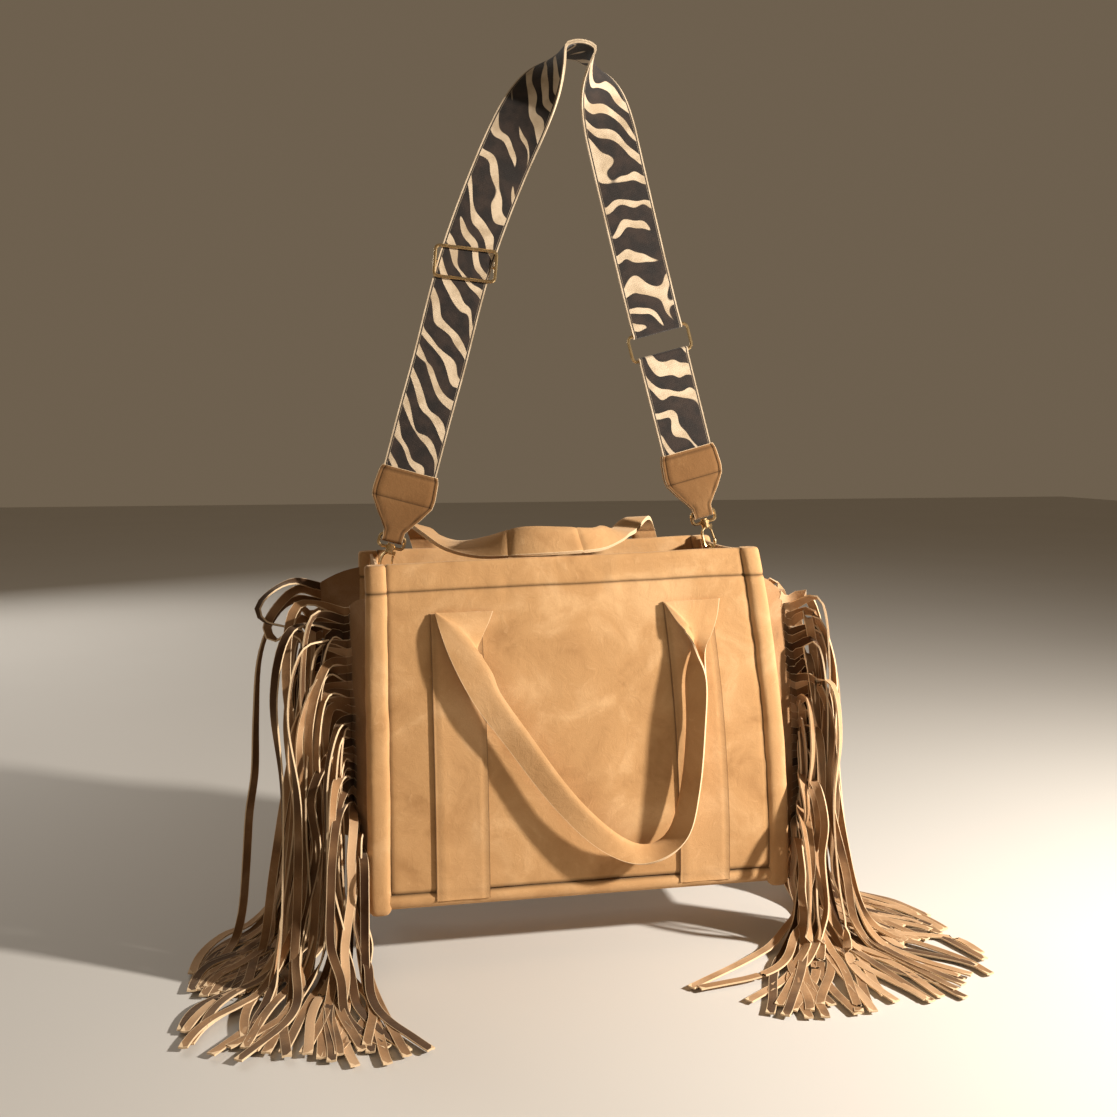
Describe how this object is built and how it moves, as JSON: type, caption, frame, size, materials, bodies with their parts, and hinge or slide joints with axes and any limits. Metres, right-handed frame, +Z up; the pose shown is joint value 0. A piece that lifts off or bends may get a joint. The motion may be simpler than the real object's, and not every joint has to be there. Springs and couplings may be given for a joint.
{
  "type": "fringed suede shoulder bag",
  "caption": "Rectangular suede bag with fringed sides, a looped handle on each face and a long patterned webbing shoulder strap clipped on with snap hooks",
  "frame": {"origin": "the inside of the strap's highest point, the place the bag hangs by", "axes": "+X is the bag's right as its front face is seen, +Y runs from the front face to the back, +Z is up"},
  "size_m": [0.6781, 0.3416, 0.8373],
  "materials": {
    "suede_body": "soft brushed suede",
    "suede_trim": "soft brushed suede with paler cut edges",
    "suede_fringe": "soft brushed suede strips",
    "webbing": "woven, cream with black branching stripes",
    "metal": "polished pale gold"
  },
  "bodies": {
    "bag": {"front_panel": "suede_body", "back_panel": "suede_body", "left_gusset": "suede_body", "right_gusset": "suede_body", "base_panel": "suede_trim", "front_left_roll": "suede_trim", "back_left_roll": "suede_trim", "front_right_roll": "suede_trim", "back_right_roll": "suede_trim", "front_handle": "suede_trim", "back_handle": "suede_trim", "left_end_tab": "suede_trim", "right_end_tab": "suede_trim", "left_ring_tab": "suede_trim", "right_ring_tab": "suede_trim", "left_front_fringe": "suede_fringe", "left_back_fringe": "suede_fringe", "right_front_fringe": "suede_fringe", "right_back_fringe": "suede_fringe", "strap_webbing": "webbing", "strap_short_webbing": "webbing", "strap_ring": "metal", "left_swivel_eye": "metal", "right_swivel_eye": "metal"},
    "left_hook": {"left_snap_hook": "metal"},
    "left_gate": {"left_hook_gate": "metal"},
    "left_ring": {"left_d_ring": "metal"},
    "right_hook": {"right_snap_hook": "metal"},
    "right_gate": {"right_hook_gate": "metal"},
    "right_ring": {"right_d_ring": "metal"},
    "slider": {"strap_slider": "metal"}
  },
  "joints": [
    {"name": "left_hook_swivel", "type": "hinge", "parent": "bag", "child": "left_hook", "pos_m": [-0.1826, 0, -0.482], "axis": [0.264, 0, 0.9645], "range_deg": [-30, 30]},
    {"name": "left_gate_hinge", "type": "hinge", "parent": "left_hook", "child": "left_gate", "pos_m": [-0.17415, 0, -0.46855], "axis": [0, 1, 0], "range_deg": [0, 25], "stiffness_Nm_per_rad": 0.05},
    {"name": "left_ring_swing", "type": "hinge", "parent": "bag", "child": "left_ring", "pos_m": [-0.18635, 0, -0.4965], "axis": [0, 1, 0], "range_deg": [-2, 2]},
    {"name": "right_hook_swivel", "type": "hinge", "parent": "bag", "child": "right_hook", "pos_m": [0.138, 0, -0.4625], "axis": [-0.262, 0, 0.9651], "range_deg": [-30, 30]},
    {"name": "right_gate_hinge", "type": "hinge", "parent": "right_hook", "child": "right_gate", "pos_m": [0.13846, 0, -0.4466], "axis": [0, 1, 0], "range_deg": [0, 25], "stiffness_Nm_per_rad": 0.05},
    {"name": "right_ring_swing", "type": "hinge", "parent": "bag", "child": "right_ring", "pos_m": [0.1443, 0, -0.4761], "axis": [0, 1, 0], "range_deg": [-2, 2]},
    {"name": "slider_slide", "type": "slide", "parent": "bag", "child": "slider", "axis": [0.309, 0, 0.9511], "range_m": [-0.03, 0]}
  ]
}
